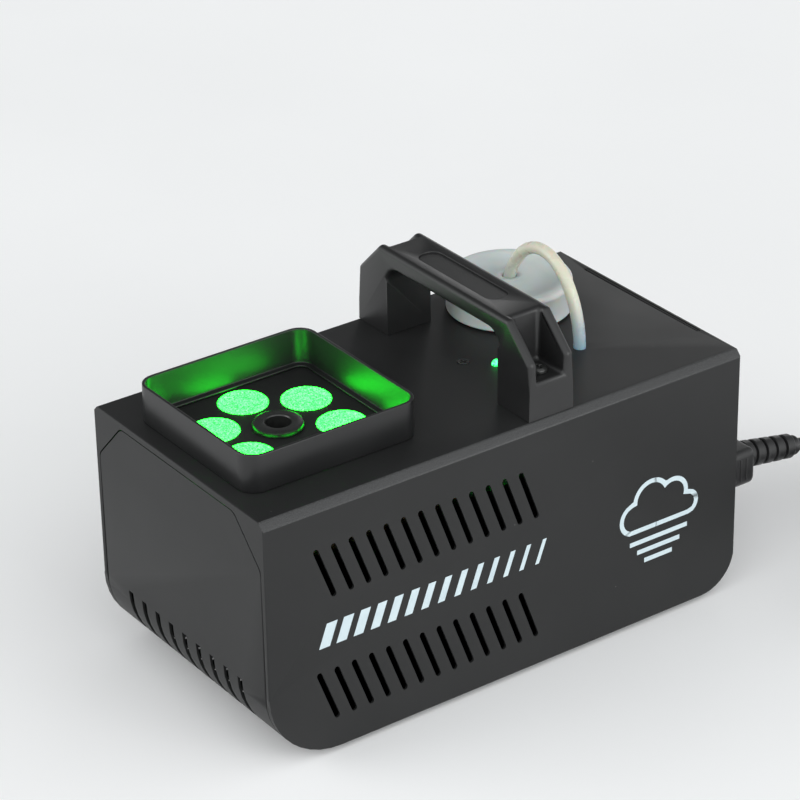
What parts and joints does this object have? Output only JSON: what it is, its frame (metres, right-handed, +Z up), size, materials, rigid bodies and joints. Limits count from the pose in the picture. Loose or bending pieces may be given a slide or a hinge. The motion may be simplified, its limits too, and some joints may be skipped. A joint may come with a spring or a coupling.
{
  "type": "fog machine",
  "caption": "Small upright-jet fog machine: slotted steel case, LED ring in a square hood, carrying handle, screw-capped fluid tank with hose, and a coiled mains lead.",
  "frame": {"origin": "on the surface the feet stand on, under the middle of the machine without its mains lead", "axes": "+X to the right seen from the front, +Y towards the rear panel, +Z up; the light hood is at the -Y end"},
  "size_m": [0.2295, 0.4313, 0.1755],
  "materials": {
    "case_black": "fine-textured black powder coat on folded steel, semi matte",
    "rubber": "matt black moulded rubber",
    "green_lens": "clear pebbled acrylic, lit green",
    "white_board": "white solder mask",
    "aluminium": "plain mill finish",
    "nozzle_metal": "black anodised turned metal, satin",
    "glass_wool": "woven glass-fibre insulation, warm tan",
    "brass": "plain brass",
    "copper": "plain copper",
    "steel": "zinc-plated steel",
    "tank_plastic": "milky translucent polyethylene",
    "cap_plastic": "milky translucent polypropylene, fine ribs",
    "hose_plastic": "translucent soft hose, faintly yellow",
    "black_plastic": "black moulded plastic, fine grain",
    "green_led": "small lit indicator",
    "black_steel": "black-plated screw steel",
    "green_board": "green solder mask with parts",
    "red_plastic": "red moulded plastic",
    "cord_rubber": "black flexible PVC"
  },
  "bodies": {
    "root": {"top_cover": "case_black", "chassis": "case_black", "foot_front_left": "rubber", "foot_front_right": "rubber", "foot_rear_left": "rubber", "foot_rear_right": "rubber", "light_hood": "case_black", "led_lens_1": "green_lens", "led_lens_2": "green_lens", "led_lens_3": "green_lens", "led_lens_4": "green_lens", "led_lens_5": "green_lens", "led_lens_6": "green_lens", "led_board": "white_board", "led_heat_plate": "aluminium", "nozzle": "nozzle_metal", "heater_block": "aluminium", "heater_jacket": "glass_wool", "outlet_pipe": "brass", "thermostat": "brass", "heater_strap_front": "copper", "heater_stand_front": "steel", "heater_strap_rear": "copper", "heater_stand_rear": "steel", "fluid_tank": "tank_plastic", "tank_tray": "steel", "suction_hose": "hose_plastic", "intake_filter": "brass", "pump_core": "brass", "pump_winding": "black_plastic", "pump_yoke": "steel", "pump_pad": "rubber", "feed_tube": "copper", "handle": "black_plastic", "handle_brace": "steel", "handle_screw_left": "black_steel", "handle_screw_right": "black_steel", "top_screw": "black_steel", "status_led": "green_led", "control_board": "green_board", "board_bracket": "steel", "mains_inlet": "black_plastic", "switch_housing": "black_plastic", "button_housing": "black_plastic", "fuse_holder": "black_plastic", "mains_connector": "cord_rubber", "cord_lead": "cord_rubber", "cord_coil": "cord_rubber", "cord_tail": "cord_rubber", "cord_tie": "cord_rubber", "mains_plug": "cord_rubber"},
    "liner": {"cap_liner": "rubber"},
    "cap": {"tank_cap": "cap_plastic"},
    "rocker": {"rocker": "red_plastic"},
    "fog_button": {"fog_button": "red_plastic"},
    "fuse_cap": {"fuse_cap": "black_plastic"},
    "plunger": {"pump_plunger": "steel"}
  },
  "joints": [
    {"name": "cap_rise", "type": "slide", "parent": "root", "child": "liner", "axis": [0, 0, 1], "range_m": [0, 0.005]},
    {"name": "cap_turn", "type": "hinge", "parent": "liner", "child": "cap", "pos_m": [-0.0332, 0.0729, 0.14], "axis": [0, 0, 1], "range_deg": [0, 450]},
    {"name": "rocker_tip", "type": "hinge", "parent": "root", "child": "rocker", "pos_m": [0.008, 0.131, 0.0515], "axis": [1, 0, 0], "range_deg": [0, 16]},
    {"name": "fog_button_press", "type": "slide", "parent": "root", "child": "fog_button", "axis": [0, -1, 0], "range_m": [0, 0.0025], "stiffness_N_per_m": 400, "springref_m": -0.002},
    {"name": "fuse_cap_turn", "type": "hinge", "parent": "root", "child": "fuse_cap", "pos_m": [-0.016, 0.131, 0.0515], "axis": [0, 1, 0], "range_deg": [0, 90]},
    {"name": "plunger_stroke", "type": "slide", "parent": "root", "child": "plunger", "axis": [1, 0, 0], "range_m": [-0.0015, 0.0015], "stiffness_N_per_m": 1200}
  ],
  "couplings": [
    {"joint": "cap_turn", "follows": "cap_rise", "rad_per_m": 1570.8}
  ]
}
